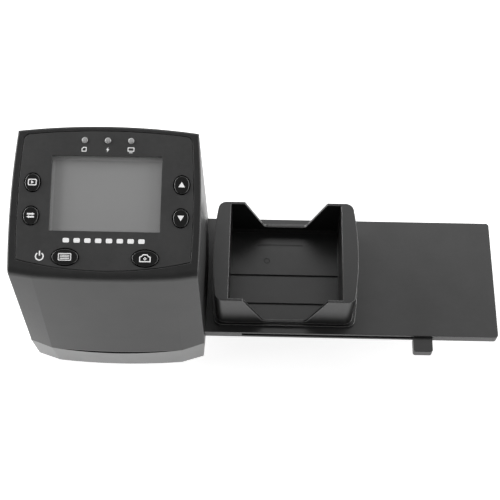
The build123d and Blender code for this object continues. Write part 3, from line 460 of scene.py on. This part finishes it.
def milky_guide():
    """The light guide: acrylic made milky, so its three domes are an even mid grey while unlit."""
    f = Finish("milky_guide")
    haze = f.clouds(0.0008, 2.0)
    body = f.mix(grey(0.44), grey(0.56), haze)
    return f.shade(
        Base_Color=body, Roughness=0.16 + haze * 0.06, Coat_Weight=0.4, Coat_Roughness=0.05,
        Normal=f.bump(haze, 0.00001, f.rounded(0.0001)),
    )


wear("light_guide", milky_guide())

# ------------------------------------------------------------------ screen
# A 2.4 inch liquid crystal screen that is switched off: an even mid grey under a clear pane. Along its top
# and its left side the colour is painted much paler, painted light against the shade that the window's edge
# casts there, and near its lower edge a faint paler line.


def unlit_screen():
    """The screen's glass: grey, with the painted-light strips and the line placed in the panel's own plane.
    """
    f = Finish("unlit_screen")
    x = f.along(rightward, tuple(screen_middle))
    s = f.along(tuple(slope_up), tuple(screen_middle))
    top_painted_light = s.rise(0.01560, 0.01600)
    left_painted_light = 1 - x.rise(-0.02365, -0.02315)
    low_line = s.rise(-0.01500, -0.01485) * (1 - s.rise(-0.01470, -0.01455))
    clouds = f.clouds(0.02, 2.0)
    body = f.mix(grey(0.64), grey(0.665), clouds)
    # Painted light: paler strips along the top and left, where the window's edge casts shade.
    body = f.mix(body, grey(0.95), top_painted_light.most(left_painted_light * 0.9))
    body = f.mix(body, grey(0.76), low_line * 0.5)
    return f.shade(
        Base_Color=body, Roughness=0.42 + clouds * 0.04, Specular_IOR_Level=0.3, Normal=f.rounded(0.0002)
    )


wear("lcd_module", unlit_screen())


def clear_pane():
    """The pane: clear acrylic that shows only its reflections and a trace of dust."""
    f = Finish("clear_pane")
    dust = f.clouds(0.0006, 4.0).rise(0.66, 0.78)
    wipe = f.clouds(0.01, 2.0, stretch=(3, 1, 1))
    return f.shade(
        Base_Color=f.mix(grey(0.25), grey(0.4), dust), Roughness=0.07 + wipe * 0.05,
        Alpha=0.16 + dust * 0.04, Specular_IOR_Level=0.5,
    )


wear("screen_window", clear_pane())

# ------------------------------------------------------------------ overlay panel and its printing
# A thin hard sheet with a smooth satin face, glued flush into the housing's recess. Its signs, plain ones
# for card, mains, monitor and power and a row of film perforations, are screen printed in white ink.

wear("overlay_panel", moulded("overlay_sheet", 0.070, 0.36, grain=0.0006, depth=0.000002, edge=0.00025))


def ink():
    """Screen ink: nearly white, uneven where the mesh of the screen left it thin, and given a faint painted
    glow.
    """
    f = Finish("white_ink")
    mesh = f.clouds(0.00012, 1.0)
    body = f.mix(grey(0.817), grey(0.95), mesh)
    # Painted light: the ink glows faintly in its own colour, though it is no lamp.
    return f.shade(
        Base_Color=body, Roughness=0.5 + mesh * 0.1, Normal=f.bump(mesh, 0.000004),
        Emission_Color=body, Emission_Strength=0.35,
    )


white_ink = ink()
ink_thickness = 0.00004
millimetre = 0.001


def oblong(x, s, width, height, radius, steps=5):
    """Loop of a rectangle with round corners: a quarter circle of radius at each corner in turn."""
    quarter = np.arange(4)[:, None]
    turn = (quarter + np.linspace(0, 1, steps + 1)[None, :]) * math.pi / 2
    side = np.array((1, -1, -1, 1))[:, None] * (width / 2 - radius)
    end = np.array((1, 1, -1, -1))[:, None] * (height / 2 - radius)
    return np.stack((x + side + radius * np.cos(turn), s + end + radius * np.sin(turn)), -1).reshape(-1, 2)


def arc(x, s, radius, start=0.0, end=2 * math.pi, steps=48):
    """Points of a circle's arc from one angle to another; a whole circle leaves its last point out."""
    closed = end - start >= 2 * math.pi
    turn = np.linspace(start, end, steps, endpoint=not closed)
    return np.stack((x + radius * np.cos(turn), s + radius * np.sin(turn)), -1)


def outline(*corners):
    """A loop of straight lines from corner to corner."""
    return np.array(corners, float)


def sign(name, shapes, lift, body, centre=(0.0, 0.0)):
    """One printed sign: flat shapes in the panel's plane, in millimetres, given the ink's thickness.

    A shape is one loop, filled, or two with the same number of points, filled between them; a third entry
    False leaves the band between them open. A point (x, s) goes to the screen's middle + x across
    + s up the slope + lift outwards.
    """
    points, faces = [], []
    for shape in shapes:
        first = sum(len(p) for p in points)
        outer = shape[0]
        n = len(outer)
        points.append(outer)
        if len(shape) == 1:
            faces.append(tuple(range(first, first + n)))
            continue
        points.append(shape[1])
        ends = n if len(shape) == 2 else n - 1
        here = np.arange(ends)
        after = (here + 1) % n
        faces += (first + np.stack((here, after, n + after, n + here), -1)).tolist()
    flat = np.concatenate(points) + np.array(centre)
    place = (
        screen_middle
        + flat[:, :1] * millimetre * np.array(rightward)
        + flat[:, 1:] * millimetre * slope_up
        + lift * slope_out
    )
    mesh = bpy.data.meshes.new(name)
    mesh.from_pydata(place.tolist(), [], faces)
    mesh.materials.append(white_ink)
    piece = bpy.data.objects.new(name, mesh)
    bpy.context.scene.collection.objects.link(piece)
    thick = piece.modifiers.new("ink", "SOLIDIFY")
    thick.thickness = ink_thickness
    thick.offset = 0.0
    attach(piece, body)


on_sheet = 0.00001
perforations = (np.arange(8) - 3.5) * 4.75
sign("print_perforations", [(oblong(x, -20.9, 2.8, 2.0, 0.5),) for x in perforations], on_sheet, "scanner")
power_middle, power_height = -27.9, -28.3
power_gap = math.radians(34)
power_start, power_end = math.pi / 2 + power_gap, 2.5 * math.pi - power_gap
sign(
    "print_power",
    [
        (
            arc(power_middle, power_height, 1.95, power_start, power_end),
            arc(power_middle, power_height, 1.40, power_start, power_end),
            False,
        ),
        (oblong(power_middle, power_height + 1.4, 0.6, 2.2, 0.2),),
    ],
    on_sheet, "scanner",
)
sign(
    "print_card",
    [
        (
            outline((-11.6, 19.3), (-9.4, 19.3), (-9.4, 21.4), (-10.9, 21.4), (-11.6, 20.7)),
            outline((-11.25, 19.65), (-9.75, 19.65), (-9.75, 21.05), (-10.75, 21.05), (-11.25, 20.55)),
        )
    ],
    on_sheet, "scanner",
)
bolt = outline((0.35, 21.5), (-0.75, 20.2), (-0.1, 20.2), (-0.35, 19.1), (0.75, 20.5), (0.1, 20.5))
sign("print_mains", [(bolt,)], on_sheet, "scanner")
sign(
    "print_monitor",
    [
        (oblong(10.4, 20.6, 3.0, 1.9, 0.25), oblong(10.4, 20.6, 2.3, 1.2, 0.1)),
        (outline((9.6, 18.95), (11.2, 18.95), (11.2, 19.25), (9.6, 19.25)),),
    ],
    on_sheet, "scanner",
)

# ------------------------------------------------------------------ push buttons
# Six oval caps moulded in smooth black, each with a flange that keeps it behind the panel and a stem down
# to its switch. Each carries one sign in white ink.


def button_cap():
    """Smooth black whose rounded rim has a painted highlight at its left and right.

    Painted highlight: where the surface leans between 25 and 55 degrees to the left or right.
    """
    f = Finish("button_black")
    fine = f.clouds(0.0018, 2.0)
    lean = abs(f.dot(f.facing(), rightward))
    lighter_rim = lean.rise(0.42, 0.62) * (1 - lean.rise(0.86, 0.95))
    # Painted highlight: paler crescents on the rim's left and right.
    body = f.mix(f.mix(grey(0.014), grey(0.020), fine), grey(0.22), lighter_rim * (0.8 + fine * 0.2))
    return f.shade(
        Base_Color=body, Roughness=0.24 + (fine - 0.5) * 0.06 + lighter_rim * 0.1,
        Normal=f.bump(fine, 0.000003, f.rounded(0.0001)),
    )


button_black = button_cap()
for button in ("button_play", "button_swap", "button_up", "button_down", "button_menu", "button_capture"):
    wear(button, button_black)
on_cap = 0.00061
left_column, right_column = -32.65, 33.55
upper_row, lower_row, front_row = 4.8, -10.2, -28.4
menu_column, capture_column = -16.7, 18.5
sign(
    "print_play",
    [
        (oblong(0, 0, 3.9, 3.0, 0.7), oblong(0, 0, 3.0, 2.1, 0.35)),
        (outline((-0.55, -0.75), (0.75, 0.0), (-0.55, 0.75)),),
    ],
    on_cap, "button_play", (left_column, upper_row),
)
arrow = outline((-1.6, 0.3), (0.6, 0.3), (0.6, 0.0), (1.8, 0.65), (0.6, 1.3), (0.6, 1.0), (-1.6, 1.0))
sign("print_swap", [(arrow,), (-arrow,)], on_cap, "button_swap", (left_column, lower_row))
triangle = outline((-1.45, -1.1), (1.45, -1.1), (0.0, 1.3))
sign("print_up", [(triangle,)], on_cap, "button_up", (right_column, upper_row))
sign("print_down", [(-triangle,)], on_cap, "button_down", (right_column, lower_row))
sign(
    "print_menu",
    [
        (oblong(0, 0, 5.8, 3.3, 0.5), oblong(0, 0, 5.1, 2.6, 0.2)),
        *[(oblong(0, bar, 4.2, 0.34, 0.1),) for bar in (0.72, 0.0, -0.72)],
    ],
    on_cap, "button_menu", (menu_column, front_row),
)
camera_case = outline(
    (-2.5, -1.7), (2.5, -1.7), (2.5, 0.7), (1.7, 1.0), (0.9, 1.8), (-0.9, 1.8), (-1.7, 1.0), (-2.5, 0.7)
)
camera_inside = outline(
    (-2.05, -1.25), (2.05, -1.25), (2.05, 0.4), (1.45, 0.6), (0.7, 1.35), (-0.7, 1.35), (-1.45, 0.6),
    (-2.05, 0.4),
)
lens_ring = outline((0.8, -0.2), (0, 0.6), (-0.8, -0.2), (0, -1.0))
lens_hole = outline((0.35, -0.2), (0, 0.15), (-0.35, -0.2), (0, -0.55))
sign(
    "print_camera",
    [(camera_case, camera_inside), (lens_ring, lens_hole)],
    on_cap, "button_capture", (capture_column, front_row),
)

# ------------------------------------------------------------------ slide feeder
# The film channel, the deck over it and the hopper for the slides are moulded in the same satin black as
# the pusher, which slides between channel and deck. Six screws from below hold the halves together.

ejector_middle = (0.0016, 0.0093, 0.0227)
ejector_radius = 0.0013
line_middle = (0.0082, 0.0184, 0)
line_half_length = 0.0112


def floor_marks(f):
    """1 on the round trace of the ejector in the hopper's floor and on a faint line near the far wall.

    Ring: where the distance from the ejector's middle is near its radius. Line: near the line's middle from
    front to back, and nowhere past its half length to the left or right.
    """
    away = f.node("VectorMath", {"operation": "DISTANCE"}, {0: f.place, 1: ejector_middle}, "Value")
    ring = 1 - abs(away - ejector_radius).rise(0.0001, 0.0005)
    line = 1 - abs(f.along(backward, line_middle)).rise(0.00015, 0.0004)
    ends = 1 - abs(f.along(rightward, line_middle)).rise(line_half_length, line_half_length + 0.0006)
    return ring.most(line * ends) * 0.7


# pale: how much paler each piece's painted edge highlight is; the hopper's paints bright lines on its rims.
wear("feeder_channel", moulded("channel_black", 0.050, 0.40, pale=0.05, marks_and_painted_shade=floor_marks))
wear("feeder_deck", moulded("deck_black", 0.050, 0.42, pale=0.03))
wear("slide_hopper", moulded("hopper_black", 0.012, 0.32, edge=0.0007, pale=0.34))
wear("pusher", moulded("pusher_black", 0.034, 0.40, pale=0.06))

# ------------------------------------------------------------------ table, light and camera
# A wide pale table lit from below, as on a product table, three soft boxes to the left, right and above
# the rear, and dim surroundings. The camera stands where the photographer stood, high in front.


def studio_table():
    """A smooth square sheet, nearly white and faintly aglow, that reaches 3 m to each side."""
    reach = 3.0
    mesh = bpy.data.meshes.new("table")
    corners = [(-reach, -reach, 0), (reach, -reach, 0), (reach, reach, 0), (-reach, reach, 0)]
    mesh.from_pydata(corners, [], [(0, 1, 2, 3)])
    f = Finish("table_white")
    mesh.materials.append(
        f.shade(
            Base_Color=grey(0.86), Roughness=0.6, Specular_IOR_Level=0.2,
            Emission_Color=grey(1.0), Emission_Strength=0.80,
        )
    )
    table = bpy.data.objects.new("table", mesh)
    bpy.context.scene.collection.objects.link(table)


studio_table()


def soft_box(name, place, aim, size, power):
    """A flat lamp of this width and height at place, facing aim, with its power in watts."""
    lamp = bpy.data.lights.new(name, "AREA")
    lamp.shape = "RECTANGLE"
    lamp.size, lamp.size_y = size
    lamp.energy = power
    holder = bpy.data.objects.new(name, lamp)
    holder.location = place
    away = np.array(place) - np.array(aim)
    holder.rotation_euler = Vector(away.tolist()).to_track_quat("Z", "Y").to_euler()
    bpy.context.scene.collection.objects.link(holder)


soft_box("box_left", (-1.1, 0.35, 0.38), (-0.05, 0, 0.03), (1.3, 0.75), 18.0)
soft_box("box_right", (1.1, 0.35, 0.38), (0.0, 0, 0.03), (1.3, 0.75), 11.0)
soft_box("box_above", (0.0, 1.1, 1.5), (0.0, 0, 0.0), (1.8, 1.0), 11.0)

world = bpy.data.worlds.new("studio")
world.use_nodes = True
surroundings = world.node_tree.nodes["Background"].inputs
surroundings["Color"].default_value = (1, 1, 1, 1)
surroundings["Strength"].default_value = 0.12
bpy.context.scene.world = world
bpy.context.scene.view_settings.view_transform = "Standard"


camera_place = (0.0002, -0.2397, 0.5111)
focal_length = 78.65
film_width = 36.0


def aim_camera():
    """Looks along (sin yaw cos drop, cos yaw cos drop, -sin drop), turned by roll about that line."""
    drop, yaw, roll = math.radians(62.4), math.radians(-1.6), math.radians(-0.3)
    forward = np.array((math.sin(yaw) * math.cos(drop), math.cos(yaw) * math.cos(drop), -math.sin(drop)))
    level_right = np.cross(forward, upward)
    level_right /= np.linalg.norm(level_right)
    level_up = np.cross(level_right, forward)
    right = math.cos(roll) * level_right + math.sin(roll) * level_up
    up = -math.sin(roll) * level_right + math.cos(roll) * level_up
    lens = bpy.data.cameras.new("camera")
    lens.sensor_width = film_width
    lens.lens = focal_length
    camera = bpy.data.objects.new("camera", lens)
    turned = Matrix(np.stack((right, up, -forward), 1).tolist()).to_4x4()
    turned.translation = camera_place
    camera.matrix_world = turned
    bpy.context.scene.collection.objects.link(camera)
    bpy.context.scene.camera = camera


aim_camera()
